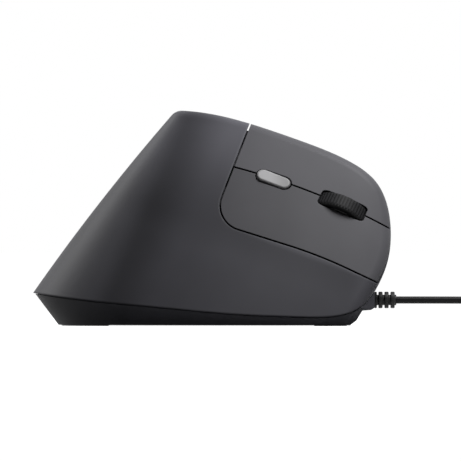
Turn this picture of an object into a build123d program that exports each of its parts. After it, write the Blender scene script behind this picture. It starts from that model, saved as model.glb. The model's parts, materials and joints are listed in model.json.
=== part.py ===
# Vertical wired mouse, built as the real one comes apart: millimetres, +X to the cable end,
# -Y to the finger side, +Z up, origin on the desk under the middle of the body.
import math
import os

from build123d import *

os.makedirs("parts", exist_ok=True)

# Overall size of the body, and the size that the outlines below were drawn at
body_length = 118.0
body_width = 78.0
body_height = 71.3
drawn_length, drawn_width, drawn_height = 118.0, 78.0, 71.3

# Mouldings
wall = 2.2
crest_radius = 4.5
seam = 0.5
foot_proud = 0.3
foot_thickness = 0.6
floor_wall = 2.0

# Keys and wheel
key_depth = 7.0
key_travel_room = 1.1
key_swing = 0.55
wheel_radius = 11.3
wheel_width = 5.4
wheel_proud = 2.3
tyre_thickness = 2.2
tyre_ribs = 66
axle_radius = 1.2
running_fit = 0.05
wheel_slot_length = 15.4
wheel_slot_width = 6.3
wheel_slot_corner = 2.2
wheel_gap = 0.6
pill_length = 11.7
pill_width = 4.5
button_gap = 0.45

# Cord
cord_diameter = 2.4
cord_height = 8.5
cord_side = 2.0
boot_diameter = 5.5

# Switches and boards
board_thickness = 1.6
switch_length, switch_width, switch_height = 12.8, 5.8, 6.5
plunger_length, plunger_width = 2.6, 1.4
touch_gap = 0.05
rim_gap = 0.15
foot_gap = 0.1
screw_radius = 1.1
screw_head_radius = 2.2
boss_radius = 3.2

length_factor = body_length / drawn_length
width_factor = body_width / drawn_width
height_factor = body_height / drawn_height


def plan(points):
    """Plan outline points at the size of this body."""
    return [(x * length_factor, y * width_factor) for x, y in points]


def side(points):
    """Side outline points at the size of this body."""
    return [(x * length_factor, z * height_factor) for x, z in points]


def shifted(points, distances, closed):
    """Points moved to the left of the way they run, all by one distance or each by its own."""
    moved = []
    count = len(points)
    if not isinstance(distances, list):
        distances = [distances] * count
    for i, ((x, y), distance) in enumerate(zip(points, distances)):
        before = points[i - 1] if closed or i > 0 else points[i]
        after = points[(i + 1) % count] if closed or i < count - 1 else points[i]
        run_x, run_y = after[0] - before[0], after[1] - before[1]
        run = math.hypot(run_x, run_y)
        moved.append((x - distance * run_y / run, y + distance * run_x / run))
    return moved


# Plan of the dome below the desk and above the crest, from the tail along the finger side
low_plan = plan([(-68, 1), (-56, -27), (-28, -42), (6, -44.6), (38, -39), (66, -26),
                 (80, 3), (66, 29), (30, 38), (-5, 40.6), (-42, 35), (-61, 20)])
high_plan = plan([(-8, 14), (-6.5, 9.5), (4, 7), (20, 6.8), (38, 6.8), (56, 7.2),
                  (72, 14), (58, 24), (38, 26), (18, 26.5), (2, 25), (-5, 20)])
low_level, high_level = -2.0 * height_factor, 76.0 * height_factor
slice_levels = [low_level, 22 * height_factor, 49 * height_factor, high_level]
tail_bulge = 2.2
finger_bulge = 2.2

# Ridge and front of the body seen from the finger side, from behind the peak to under the nose
ridge_side = side([(-34, 71.9), (-20.5, 71.7), (-10.6, 71.3), (-2.7, 70.5), (13.1, 66.7), (29, 61.3),
                   (44.8, 54.7), (54.1, 47.7), (59.0, 31.7), (57.5, 19.8), (53.4, 10.9), (46.2, -1.3)])

# Thumb hollow: its section across the body, swept round an upright line beside the mouse
hollow_section = [(y * width_factor, z * height_factor) for y, z in
                  [(23, 84), (17.4, 66), (17.2, 50), (20.5, 35), (28, 23.5), (38, 17), (52, 13.5)]]
hollow_centre_x = 30 * length_factor
hollow_centre_y = 190 * width_factor
hollow_from, hollow_to = -30.0, 15.0
hollow_axis = Axis((hollow_centre_x, hollow_centre_y, 0), (0, 0, 1))
start_x, start_y = math.sin(math.radians(hollow_from)), -math.cos(math.radians(hollow_from))
hollow_start = Plane(origin=hollow_axis.position, x_dir=(start_x, start_y, 0), z_dir=(start_y, -start_x, 0))

# Line where the shell meets the tray, seen from the side
rim_side = side([(-70, 13), (-41.8, 8.4), (-20.6, 6.4), (8.8, 3.8), (28, 3.0), (40, 3.2),
                 (47, 5.1), (51.4, 8.6), (55.5, 14.5)])


def plan_at(level, inset):
    """Plan outline of the dome at a level, moved in by a wall."""
    t = (level - low_level) / (high_level - low_level)
    swell = 4 * t * (1 - t)
    ring = []
    for (x0, y0), (x1, y1) in zip(low_plan, high_plan):
        tail = tail_bulge if x0 < -50 * length_factor else 0
        finger = finger_bulge if y0 < 0 and x0 > -50 * length_factor else 0
        ring.append((x0 + (x1 - x0) * t - tail * swell, y0 + (y1 - y0) * t - finger * swell))
    return shifted(ring, inset, closed=True)


def body_form():
    """Solid form of the body, before its crest is rounded."""
    with BuildPart() as form:
        for level in slice_levels:
            with BuildSketch(Plane.XY.offset(level)):
                with BuildLine():
                    Spline(*plan_at(level, 0), periodic=True)
                make_face()
        loft()
        with BuildSketch(Plane.XZ.offset(-body_width)):
            with BuildLine():
                ridge = Spline(*ridge_side)
                Polyline(ridge @ 1, (0, -20), (-body_length, -20), (-body_length, body_height), ridge @ 0)
            make_face()
        extrude(amount=2 * body_width, mode=Mode.INTERSECT)
        with BuildSketch(hollow_start):
            with BuildLine():
                section = [(hollow_centre_y - y, z) for y, z in hollow_section]
                hollow = Spline(*section)
                far = hollow_centre_y - body_width
                Polyline(hollow @ 1, (far, section[-1][1]), (far, section[0][1]), hollow @ 0)
            make_face()
        revolve(axis=hollow_axis, revolution_arc=hollow_to - hollow_from, mode=Mode.SUBTRACT)
    return form


def side_prism(outline, y_from=-body_width, y_to=body_width):
    """Prism across the body with a side outline, between two places across."""
    with BuildPart() as prism:
        with BuildSketch(Plane.XZ.offset(-y_to)):
            add(outline.sketch)
        extrude(amount=y_to - y_from)
    return prism


# Outer form with its crest rounded
plain_form = body_form()
with BuildPart() as body:
    add(plain_form.part)
    crest_edges = body.edges().filter_by(lambda edge: (edge @ 0.5).Z > 20 * height_factor)
    fillet(crest_edges, radius=crest_radius)


def room_form(inset):
    """Room inside the walls, with flat inner faces."""
    with BuildPart() as form:
        for level in (low_level, 36 * height_factor, high_level):
            with BuildSketch(Plane.XY.offset(level)):
                Polygon(*plan_at(level, inset), align=None)
        loft(ruled=True)
        with BuildSketch(Plane.XZ.offset(-body_width)):
            ridge = shifted(ridge_side, -inset, closed=False)
            Polygon(*ridge, (0, -20), (-body_length, -20), (-body_length, body_height), align=None)
        extrude(amount=2 * body_width, mode=Mode.INTERSECT)
        with BuildSketch(hollow_start):
            section = [(hollow_centre_y - y, z) for y, z in shifted(hollow_section, -inset, closed=False)]
            far = hollow_centre_y - body_width
            Polygon(*section, (far, section[-1][1]), (far, section[0][1]), align=None)
        revolve(axis=hollow_axis, revolution_arc=hollow_to - hollow_from, mode=Mode.SUBTRACT)
    return form


room = room_form(wall)


def finger_point(x, z):
    """Point of the finger side at a place of the side view."""
    sight = Axis((x, -2 * body_width, z), (0, 1, 0))
    return body.part.find_intersection_points(sight)[0][0]


# Plane of the finger face at the middle of the wheel: x to the fingertip, y up the slope, z outwards
wheel_at = side([(42.7, 40.1)])[0]
face_low = finger_point(*side([(10, 36)])[0])
face_high = finger_point(*side([(14, 60)])[0])
face_front = finger_point(*side([(50, 34)])[0])
outward = (face_high - face_low).cross(face_front - face_low).normalized()
if outward.Y > 0:
    outward = outward * -1
finger_dip = math.radians(25)
finger_way = Vector(math.cos(finger_dip), 0, -math.sin(finger_dip))
finger_way = (finger_way - outward * finger_way.dot(outward)).normalized()
face = Plane(origin=finger_point(*wheel_at), x_dir=finger_way, z_dir=outward)


def on_face(x, z):
    """Place in the finger plane of a point of the side view."""
    away = Vector(x, 0, z) - face.origin
    y = -(away.X * outward.X + away.Z * outward.Z) / outward.Y + face.origin.Y
    local = face.to_local_coords(Vector(x, y, z))
    return local.X, local.Y


def face_block(length, width, low, high, at=(0, 0)):
    """Box in the finger plane, between two heights over it."""
    with BuildPart() as block:
        with BuildSketch(face.offset(low)):
            with Locations(at):
                Rectangle(length, width)
        extrude(amount=high - low)
    return block


# Seams of the two keys, seen from the side
key_zone_side = side([(15.5, 75), (-0.3, 34.3), (34.9, 23.2), (66, 8.6)])
key_corner_radius, key_bend_radius = 8.5, 150.0
split_side = side([(0, 54.2), (30.6, 45.0), (62, 30.2)])
crest_side = side([(0, 67.4), (29, 58.5), (60, 40)])
far_x = body_length
far_z = 2 * body_height


def key_zone(inset):
    """Side outline of both keys together, drawn in by a seam."""
    with BuildSketch() as zone:
        with BuildLine():
            edge = FilletPolyline(*key_zone_side, radius=[key_corner_radius, key_bend_radius])
            Polyline(edge @ 1, (far_x, key_zone_side[-1][1]), (far_x, far_z), (key_zone_side[0][0], far_z),
                     edge @ 0)
        make_face()
        if inset > 0:
            offset(amount=-inset)
    return zone


with BuildSketch() as split_band:
    with BuildLine():
        split_low = ThreePointArc(*[(x, z - seam / 2) for x, z in split_side])
        split_high = ThreePointArc(*[(x, z + seam / 2) for x, z in split_side])
        Line(split_low @ 0, split_high @ 0)
        Line(split_low @ 1, split_high @ 1)
    make_face()


def behind_keys(space):
    """What lies deeper than the keys: behind their edge plane and under the crest, grown by a space."""
    with BuildPart() as block:
        with BuildSketch(Plane.XZ.offset(-body_width)):
            with BuildLine():
                top = ThreePointArc(*[(x, z + space) for x, z in crest_side])
                Polyline(top @ 1, (far_x, top.position_at(1).Z), (far_x, -far_z), (-far_x, -far_z),
                         (-far_x, top.position_at(0).Z), top @ 0)
            make_face()
        extrude(amount=2 * body_width)
        split(bisect_by=face.offset(space - key_depth), keep=Keep.BOTTOM)
    return block


# Heights over the finger plane of what stands behind the keys
board_top = -11.5
board_low = board_top - board_thickness
switch_top = board_top + switch_height
plunger_top = switch_top + 0.5
tact_height = 3.5
tact_top = board_top + tact_height
tact_button_top = tact_top + 0.8
plate_top = board_low - 0.9
plate_thickness = 2.0
plate_low = plate_top - plate_thickness

# Places in the finger plane, along the finger and up the slope
left_switch_at = (-9.0, 11.0)
right_switch_at = (-9.0, -11.0)
pill_at = on_face(*side([(20.3, 48.5)])[0])
pill_room = pill_length + 2 * button_gap, pill_width + 2 * button_gap
hinge_at = -40.0
tongue_width = 8.0
tongue_low, tongue_top = -7.2, -6.0
tongue_rear, riser_rear, riser_front = -45.5, -36.0, -32.5
left_tongue_at, right_tongue_at = 7.0, -10.0

# Screw bosses under the shell: one under the tail, one each side of the wheel
boss_places = plan([(-40, 2), (4, -28), (20, 29.5)])
boss_level = 9.0 * height_factor

# Thumb panel outline, and the two side buttons in it
panel_side = side([(-22, 27), (-12, 58.5), (14, 57.5), (50, 44), (48, 27)])
panel_radius = 7.0
panel_seam = 0.2
side_button_length, side_button_width = 16.0, 6.0
side_button_proud = 1.0
side_button_tilt = -14.0
back_button_at, forward_button_at = side([(11.5, 49.3), (31.0, 44.4)])
panel_inner_y = 6.0


def panel_outline(inset):
    """Side outline of the thumb panel, drawn in by a seam."""
    with BuildSketch() as outline:
        Polygon(*panel_side, align=None)
        fillet(outline.vertices(), radius=panel_radius)
        if inset > 0:
            offset(amount=-inset)
    return outline


def side_button_slots(grow):
    """Side outlines of both side buttons, grown by a gap."""
    with BuildSketch() as slots:
        with Locations(Location(back_button_at, side_button_tilt), Location(forward_button_at, side_button_tilt)):
            SlotOverall(side_button_length + 2 * grow, side_button_width + 2 * grow)
    return slots


with BuildSketch() as under_rim:
    with BuildLine():
        rim = Spline(*rim_side)
        Polyline(rim @ 1, (far_x, rim_side[-1][1]), (far_x, -far_z), (-far_x, -far_z), (-far_x, rim_side[0][1]),
                 rim @ 0)
    make_face()

zone_solid = side_prism(key_zone(0))
key_solid_zone = side_prism(key_zone(seam))
under_rim_solid = side_prism(under_rim)
panel_solid = side_prism(panel_outline(0), panel_inner_y, body_width)
cable_plane = Plane(origin=(0, cord_side, cord_height), x_dir=(0, 1, 0), z_dir=(1, 0, 0))
boot_neck_radius = 2.0
flange_pocket_radius = 2.9
flange_pocket_from = 48.6 * length_factor
nose_inside, nose_face = 51.4 * length_factor, 53.6 * length_factor

with BuildPart() as key_space:
    add(zone_solid.part)
    add(behind_keys(0).part, mode=Mode.SUBTRACT)

screw_hole_radius = screw_radius + running_fit
# Scroll wheel: hub with spokes for the light beam and its axle, rubber tyre, and the rocking carriage
wheel_depth = wheel_radius - wheel_proud
wheel_plane = Plane(origin=face.from_local_coords((0, 0, -wheel_depth)), x_dir=face.x_dir, z_dir=face.y_dir)
rim_radius = wheel_radius - tyre_thickness
rim_thickness, web_thickness, nave_radius = 1.4, 1.5, 3.0
spoke_windows, window_radius, window_circle = 12, 0.9, 5.6
arm_inside, arm_thickness = 4.2, 1.2
arm_outside = arm_inside + arm_thickness
arm_length, arm_height = 19.0, 6.0
arm_middle = -4.5
rock_at = -11.5
groove_width, groove_depth, tyre_edge = 0.45, 0.35, 1.1

with BuildPart() as wheel_hub:
    with BuildSketch(wheel_plane.offset(-wheel_width / 2)):
        Circle(rim_radius)
        Circle(rim_radius - rim_thickness, mode=Mode.SUBTRACT)
        Circle(nave_radius)
    extrude(amount=wheel_width)
    with BuildSketch(wheel_plane.offset(-web_thickness / 2)):
        Circle(rim_radius - rim_thickness / 2)
        with PolarLocations(window_circle, spoke_windows):
            Circle(window_radius, mode=Mode.SUBTRACT)
    extrude(amount=web_thickness)
    with BuildSketch(wheel_plane.offset(-arm_outside)):
        Circle(axle_radius)
    extrude(amount=2 * arm_outside)

with BuildPart() as wheel_tyre:
    with BuildSketch(wheel_plane.offset(-wheel_width / 2)):
        Circle(wheel_radius)
        Circle(rim_radius, mode=Mode.SUBTRACT)
    extrude(amount=wheel_width)
    tyre_rims = wheel_tyre.edges().filter_by(GeomType.CIRCLE).filter_by(lambda edge: edge.radius > rim_radius + 0.1)
    fillet(tyre_rims, radius=tyre_edge)
    with BuildSketch(wheel_plane.offset(-wheel_width / 2)):
        with PolarLocations(wheel_radius, tyre_ribs):
            Rectangle(2 * groove_depth, groove_width)
    extrude(amount=wheel_width, mode=Mode.SUBTRACT)

tab_low = tact_button_top + touch_gap
tab_thickness = 1.0
click_switch_at = (0.6, -10.3)
with BuildPart() as wheel_carriage:
    for start in (-arm_outside, arm_inside):
        with BuildSketch(wheel_plane.offset(start)):
            with Locations((arm_middle, 0)):
                SlotOverall(arm_length, arm_height)
            Circle(axle_radius + running_fit, mode=Mode.SUBTRACT)
        extrude(amount=arm_thickness)
    with BuildSketch(wheel_plane.offset(-arm_outside)):
        with Locations((arm_middle - arm_length / 2 + 0.6, 0)):
            Rectangle(1.2, 3.0)
    extrude(amount=2 * arm_outside)
    for start in (-7.2, arm_outside):
        with BuildSketch(wheel_plane.offset(start)):
            with Locations((rock_at, 0)):
                Circle(axle_radius)
        extrude(amount=7.2 - arm_outside)
    with BuildSketch(face.offset(tab_low)):
        with Locations((click_switch_at[0], -(arm_inside + 11.4) / 2)):
            Rectangle(3.0, 11.4 - arm_inside)
    extrude(amount=tab_thickness)
    with BuildSketch(wheel_plane.offset(-arm_inside)):
        Circle(axle_radius + running_fit)
    extrude(amount=2 * arm_inside, mode=Mode.SUBTRACT)


def fitted_tact(height, at, board=board_top):
    """Small square switch on the button board, with its plunger."""
    with BuildPart() as switch:
        with BuildSketch(face.offset(board)):
            with Locations(at):
                Rectangle(4.5, 4.5)
        extrude(amount=height)
        with BuildSketch(face.offset(board + height)):
            with Locations(at):
                Circle(1.3 + running_fit)
        extrude(amount=-0.9, mode=Mode.SUBTRACT)
    with BuildPart() as plunger:
        with BuildSketch(face.offset(board + height - 0.4)):
            with Locations(at):
                Circle(1.3)
        extrude(amount=1.2)
    return switch, plunger


speed_switch, speed_plunger = fitted_tact(tact_height, pill_at)
click_switch, click_plunger = fitted_tact(tact_height, click_switch_at)

# Speed button: pill cap, a flange that keeps it in, and a stem down to its switch
pill_top, pill_low, flange_thickness, flange_reach = 0.35, -3.6, 0.7, 0.8
with BuildPart() as speed_button:
    with BuildSketch(face.offset(pill_low)):
        with Locations(pill_at):
            SlotOverall(pill_length, pill_width)
    extrude(amount=pill_top - pill_low)
    fillet(speed_button.faces().sort_by(Axis(face.origin, face.z_dir))[-1].edges(), radius=0.6)
    with BuildSketch(face.offset(pill_low)):
        with Locations(pill_at):
            SlotOverall(pill_length + 2 * flange_reach, pill_width + 2 * flange_reach)
    extrude(amount=flange_thickness)
    with BuildSketch(face.offset(tact_button_top + touch_gap)):
        with Locations(pill_at):
            Rectangle(3.0, 2.4)
    extrude(amount=pill_low - tact_button_top - touch_gap)


# Main button switches and their plungers
plunger_offset = 2.4


def key_switch(at):
    """Micro switch under a key, with its plunger towards the fingertip."""
    with BuildPart() as switch:
        with BuildSketch(face.offset(board_top)):
            with Locations((at[0] - plunger_offset, at[1])):
                Rectangle(switch_length, switch_width)
        extrude(amount=switch_height)
        fillet(switch.edges().filter_by(Axis(face.origin, face.z_dir)), radius=0.4)
        with BuildSketch(face.offset(switch_top)):
            with Locations(at):
                Rectangle(plunger_length + 0.2, plunger_width + 0.2)
        extrude(amount=-1.2, mode=Mode.SUBTRACT)
    with BuildPart() as plunger:
        with BuildSketch(face.offset(switch_top - 0.7)):
            with Locations(at):
                Rectangle(plunger_length, plunger_width)
        extrude(amount=plunger_top - switch_top + 0.7)
    return switch, plunger


left_switch, left_plunger = key_switch(left_switch_at)
right_switch, right_plunger = key_switch(right_switch_at)

# Button board and the inner frame that holds it behind the finger face
board_rear, board_front, board_right, board_left = -32.0, 7.0, -14.5, 12.5
board_notch = 8.0
board_middle = ((board_rear + board_front) / 2, (board_right + board_left) / 2)
post_places = [(-29.5, -11.5), (-29.5, 9.5), (4.5, -12.0), (4.5, 10.0)]
with BuildPart() as button_board:
    with BuildSketch(face.offset(board_low)):
        with Locations(board_middle):
            RectangleRounded(board_front - board_rear, board_left - board_right, 1.5)
        with Locations(((board_front + rock_at - 4) / 2, 0)):
            Rectangle(board_front - rock_at + 4, 2 * board_notch, mode=Mode.SUBTRACT)
        with Locations(*post_places):
            Circle(screw_hole_radius, mode=Mode.SUBTRACT)
    extrude(amount=board_thickness)

with BuildPart() as board_screws:
    for post in post_places[:2]:
        with BuildSketch(face.offset(board_top)):
            with Locations(post):
                Circle(2.0)
        extrude(amount=1.3)
        with BuildSketch(face.offset(plate_low)):
            with Locations(post):
                Circle(screw_radius)
        extrude(amount=board_top - plate_low)

floor_top = foot_proud + floor_wall
leg_places, leg_thickness = [(11.2, -2), (27.2, -2)], 2.4
leg_width = 14.0
ear_thickness, ear_inside = 1.5, 5.7
with BuildPart() as inner_frame:
    for x, y in leg_places:
        with BuildSketch(Plane.XY.offset(floor_top)):
            with Locations((x, y)):
                Rectangle(leg_thickness, leg_width)
        extrude(amount=body_height)
    split(bisect_by=face.offset(plate_low + 0.5), keep=Keep.BOTTOM)
    with BuildSketch(Plane.XY.offset(floor_top)):
        with Locations((20.5, -2)):
            RectangleRounded(25, leg_width, 2)
    extrude(amount=2.0)
    with BuildSketch(face.offset(plate_low)):
        with Locations(board_middle):
            RectangleRounded(board_front - board_rear, board_left - board_right, 1.5)
    extrude(amount=plate_thickness)
    with BuildSketch(face.offset(plate_top)):
        with Locations(*post_places):
            Circle(1.8)
    extrude(amount=board_low - plate_top)
    for start in (-ear_inside - ear_thickness, ear_inside):
        with BuildSketch(wheel_plane.offset(start)):
            with Locations((rock_at, 2.0)):
                Rectangle(4.4, 6.0)
            with Locations((rock_at, 0)):
                Circle(2.2)
                Circle(axle_radius + running_fit, mode=Mode.SUBTRACT)
        extrude(amount=ear_thickness)
    with BuildSketch(wheel_plane.offset(-4.6)):
        Circle(wheel_radius + 1.2)
    extrude(amount=9.2, mode=Mode.SUBTRACT)
    with BuildSketch(face.offset(plate_low)):
        with Locations(*post_places):
            Circle(screw_hole_radius)
    extrude(amount=board_low - plate_low, mode=Mode.SUBTRACT)
    with BuildSketch(cable_plane):
        Circle(cord_diameter / 2 + 0.4)
    extrude(amount=40, mode=Mode.SUBTRACT)


def beam_part(at):
    """Infrared emitter or receiver that looks through the hub."""
    with BuildPart() as lamp:
        with BuildSketch(face.offset(board_top)):
            with Locations(at):
                Rectangle(3.0, 2.4)
        extrude(amount=5.6)
        fillet(lamp.faces().sort_by(Axis(face.origin, face.z_dir))[-1].edges(), radius=0.5)
    return lamp


wheel_emitter = beam_part((5.5, 9.5))
wheel_receiver = beam_part((5.5, -9.5))

# Side buttons of the thumb panel, their switches and board
side_board_y, side_board_thickness = 9.6, 1.2
side_tact_height = 2.5
side_plunger_y = side_board_y + side_tact_height + 0.8
side_flange_y = side_plunger_y + touch_gap + 0.9
side_tilt_plane = Plane.XZ


def side_sketch_part(shape, y_from, y_to):
    """Solid between two places across, from a side outline."""
    with BuildPart() as piece:
        with BuildSketch(Plane.XZ.offset(-y_to)):
            shape()
        extrude(amount=y_to - y_from)
    return piece


def side_button(at):
    """Side button: oval cap that follows the hollow, with its flange and stem."""
    spot = Location((at[0], at[1]), side_button_tilt)
    with BuildPart() as button:
        with BuildSketch(Plane.XZ.offset(-body_width)):
            with Locations(spot):
                SlotOverall(side_button_length, side_button_width)
        extrude(amount=body_width - side_flange_y)
        with BuildSketch(hollow_start):
            section = [(hollow_centre_y - y, z)
                       for y, z in shifted(hollow_section, side_button_proud, closed=False)]
            far = hollow_centre_y - 2 * body_width
            Polygon(*section, (far, section[-1][1]), (far, section[0][1]), align=None)
        revolve(axis=hollow_axis, revolution_arc=hollow_to - hollow_from, mode=Mode.SUBTRACT)
        with BuildSketch(Plane.XZ.offset(-side_flange_y - 0.7)):
            with Locations(spot):
                SlotOverall(side_button_length + 1.2, side_button_width + 1.2)
        extrude(amount=0.7)
        with BuildSketch(Plane.XZ.offset(-side_flange_y)):
            with Locations(spot):
                Rectangle(3.0, 3.0)
        extrude(amount=side_flange_y - side_plunger_y - touch_gap)
    return button


def side_tact(at):
    """Small square switch under a side button, with its plunger."""
    spot = Location((at[0], at[1]), side_button_tilt)
    with BuildPart() as switch:
        with BuildSketch(Plane.XZ.offset(-side_board_y - side_tact_height)):
            with Locations(spot):
                Rectangle(4.5, 4.5)
        extrude(amount=side_tact_height)
        with BuildSketch(Plane.XZ.offset(-side_board_y - side_tact_height)):
            with Locations(spot):
                Circle(1.3 + running_fit)
        extrude(amount=0.9, mode=Mode.SUBTRACT)
    with BuildPart() as plunger:
        with BuildSketch(Plane.XZ.offset(-side_plunger_y)):
            with Locations(spot):
                Circle(1.3)
        extrude(amount=1.2)
    return switch, plunger


back_button = side_button(back_button_at)
forward_button = side_button(forward_button_at)
back_switch, back_plunger = side_tact(back_button_at)
forward_switch, forward_plunger = side_tact(forward_button_at)
side_middle = ((back_button_at[0] + forward_button_at[0]) / 2, (back_button_at[1] + forward_button_at[1]) / 2)
with BuildPart() as side_board:
    with BuildSketch(Plane.XZ.offset(-side_board_y)):
        with Locations(Location(side_middle, side_button_tilt)):
            RectangleRounded(32, 7, 1)
    extrude(amount=side_board_thickness)

# Base tray: flared sides that reach the shell at the rim, a flat floor and the nose for the cable
flare = 0.75
tray_top = 13.0 * height_factor


def rim_height(x):
    """Height of the rim at a place along the body, straight between its points."""
    inner = [(a, b) for a, b in zip(rim_side, rim_side[1:]) if a[0] <= x <= b[0]]
    if not inner:
        return tray_top
    (x0, z0), (x1, z1) = inner[0]
    return min(z0 + (z1 - z0) * (x - x0) / (x1 - x0), tray_top)


def rim_ring():
    """Plan outline where the body meets its rim, with the rim's height at each point."""
    heights = [tray_top / 2] * len(low_plan)
    for step in range(12):
        heights = [rim_height(plan_at(height, 0)[i][0]) for i, height in enumerate(heights)]
    return [plan_at(height, 0)[i] for i, height in enumerate(heights)], heights


rim_points, rim_heights = rim_ring()


def tray_ring(level, inset):
    """Plan outline of the tray at a level: drawn in below the rim by its slope, and by a wall."""
    moves = [flare * (height - level) + inset for height in rim_heights]
    return shifted(rim_points, moves, closed=True)


tray_front = side([(45.5, 0.3), (47.5, 1.8), (49.5, 5.1), (52.4, 5.3), (53.6, 6.1), (53.6, 14)])
tray_front_inside = side([(44.6, 2.3), (46.0, 3.4), (48.0, 7.2), (51.4, 7.4), (51.4, 14)])
board_places = plan([(-30, -15), (-30, 17), (4, -15), (4, 17)])
main_board_low = 4.4
main_board_top = main_board_low + board_thickness
sensor_at = (-8 * length_factor, 0)
foot_rear_from, foot_rear_to = -50.0, -34.1
foot_front_from, foot_front_to = 33.6, 44.5
foot_inset = 1.0


def foot_outline(x_from, x_to, gap):
    """Plan outline of a foot: a slice of the tray's floor, drawn in from its edge and by a gap."""
    with BuildSketch() as outline:
        with BuildLine():
            Spline(*tray_ring(foot_proud, foot_inset + gap), periodic=True)
        make_face()
        with Locations(((x_from + x_to) * length_factor / 2, 0)):
            Rectangle((x_to - x_from) * length_factor - 2 * gap, 2 * body_width, mode=Mode.INTERSECT)
        fillet(outline.vertices(), radius=2.0)
    return outline


rear_recess = foot_outline(foot_rear_from, foot_rear_to, 0)
front_recess = foot_outline(foot_front_from, foot_front_to, 0)
with BuildPart() as tray_flare:
    for level in (foot_proud, tray_top):
        with BuildSketch(Plane.XY.offset(level)):
            with BuildLine():
                Spline(*tray_ring(level, 0), periodic=True)
            make_face()
    loft()
with BuildPart() as tray_room:
    for level in (floor_top, tray_top + 1):
        with BuildSketch(Plane.XY.offset(level)):
            Polygon(*tray_ring(level, wall), align=None)
    loft(ruled=True)
    with BuildSketch(Plane.XZ.offset(-body_width)):
        Polygon((-body_length, floor_top), *tray_front_inside, (-body_length, 14), align=None)
    extrude(amount=2 * body_width, mode=Mode.INTERSECT)
    with BuildSketch(Plane.XY.offset(floor_top)):
        with Locations(*boss_places):
            Circle(boss_radius)
    extrude(amount=boss_level - floor_top, mode=Mode.SUBTRACT)
    with BuildSketch(Plane.XY.offset(floor_top)):
        with Locations(*board_places):
            Circle(2.0)
    extrude(amount=main_board_low - floor_top, mode=Mode.SUBTRACT)

with BuildPart() as base_tray:
    add(tray_flare.part)
    with BuildSketch(Plane.XZ.offset(-body_width)):
        Polygon((-body_length, 0.3), *tray_front, (-body_length, 14), align=None)
    extrude(amount=2 * body_width, mode=Mode.INTERSECT)
    add(under_rim_solid.part.moved(Location((0, 0, -rim_gap))), mode=Mode.INTERSECT)
    add(tray_room.part, mode=Mode.SUBTRACT)
    with BuildSketch(Plane.XY):
        add(rear_recess.sketch)
        add(front_recess.sketch)
    extrude(amount=foot_thickness, mode=Mode.SUBTRACT)
    with BuildSketch(Plane.XY):
        with Locations(*boss_places):
            Circle(screw_hole_radius)
        with Locations(sensor_at):
            RectangleRounded(9, 7, 2)
    extrude(amount=boss_level, mode=Mode.SUBTRACT)
    with BuildSketch(Plane.XY):
        with Locations(*boss_places):
            Circle(screw_head_radius + 0.3)
    extrude(amount=4.0, mode=Mode.SUBTRACT)
    with BuildSketch(cable_plane.offset(flange_pocket_from)):
        Circle(flange_pocket_radius)
    extrude(amount=nose_inside - flange_pocket_from, mode=Mode.SUBTRACT)
    with BuildSketch(cable_plane.offset(nose_inside - 1)):
        Circle(boot_neck_radius)
    extrude(amount=6, mode=Mode.SUBTRACT)

with BuildPart() as rear_foot:
    add(foot_outline(foot_rear_from, foot_rear_to, foot_gap).sketch)
    extrude(amount=foot_thickness)
with BuildPart() as front_foot:
    add(foot_outline(foot_front_from, foot_front_to, foot_gap).sketch)
    extrude(amount=foot_thickness)

with BuildPart() as base_screws:
    for x, y in boss_places:
        with BuildSketch(Plane.XY.offset(4.0)):
            with Locations((x, y)):
                Circle(screw_radius)
        extrude(amount=boss_level)
        with BuildSketch(Plane.XY.offset(2.6)):
            with Locations((x, y)):
                Circle(screw_head_radius)
        extrude(amount=1.4)

# Main board with the sensor, its lens and light, and the cable connector
with BuildPart() as main_board:
    with BuildSketch(Plane.XY.offset(main_board_low)):
        with Locations((-13 * length_factor, 1)):
            RectangleRounded(42 * length_factor, 42 * width_factor, 2)
        with Locations(*board_places):
            Circle(screw_hole_radius, mode=Mode.SUBTRACT)
        with Locations(sensor_at):
            Rectangle(7, 5, mode=Mode.SUBTRACT)
    extrude(amount=board_thickness)
with BuildPart() as tray_screws:
    for x, y in (board_places[0], board_places[3]):
        with BuildSketch(Plane.XY.offset(main_board_top)):
            with Locations((x, y)):
                Circle(2.0)
        extrude(amount=1.3)
        with BuildSketch(Plane.XY.offset(main_board_low)):
            with Locations((x, y)):
                Circle(screw_radius)
        extrude(amount=board_thickness)
with BuildPart() as sensor:
    with BuildSketch(Plane.XY.offset(main_board_top)):
        with Locations(sensor_at):
            Rectangle(11, 9)
    extrude(amount=2.6)
    chamfer(sensor.faces().sort_by(Axis.Z)[-1].edges(), length=0.4)
with BuildPart() as sensor_lens:
    with BuildSketch(Plane.XY.offset(floor_top)):
        with Locations(sensor_at):
            RectangleRounded(14, 10, 1.5)
    extrude(amount=main_board_low - floor_top)
    with BuildSketch(Plane.XY.offset(1.2)):
        with Locations(sensor_at):
            RectangleRounded(7, 5, 1.5)
    extrude(amount=floor_top - 1.2)
with BuildPart() as sensor_light:
    with BuildSketch(Plane.XY.offset(main_board_top)):
        with Locations((sensor_at[0] - 11, 0)):
            Rectangle(5, 4)
    extrude(amount=3.4)
    fillet(sensor_light.faces().sort_by(Axis.Z)[-1].edges(), radius=0.8)
plug_socket_x = 6.0
with BuildPart() as cable_socket:
    with BuildSketch(Plane.XY.offset(main_board_top)):
        with Locations((plug_socket_x - 3.5, cord_side)):
            Rectangle(7, 8)
    extrude(amount=5)
    chamfer(cable_socket.edges().filter_by(Axis.Z), length=0.6)

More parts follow.
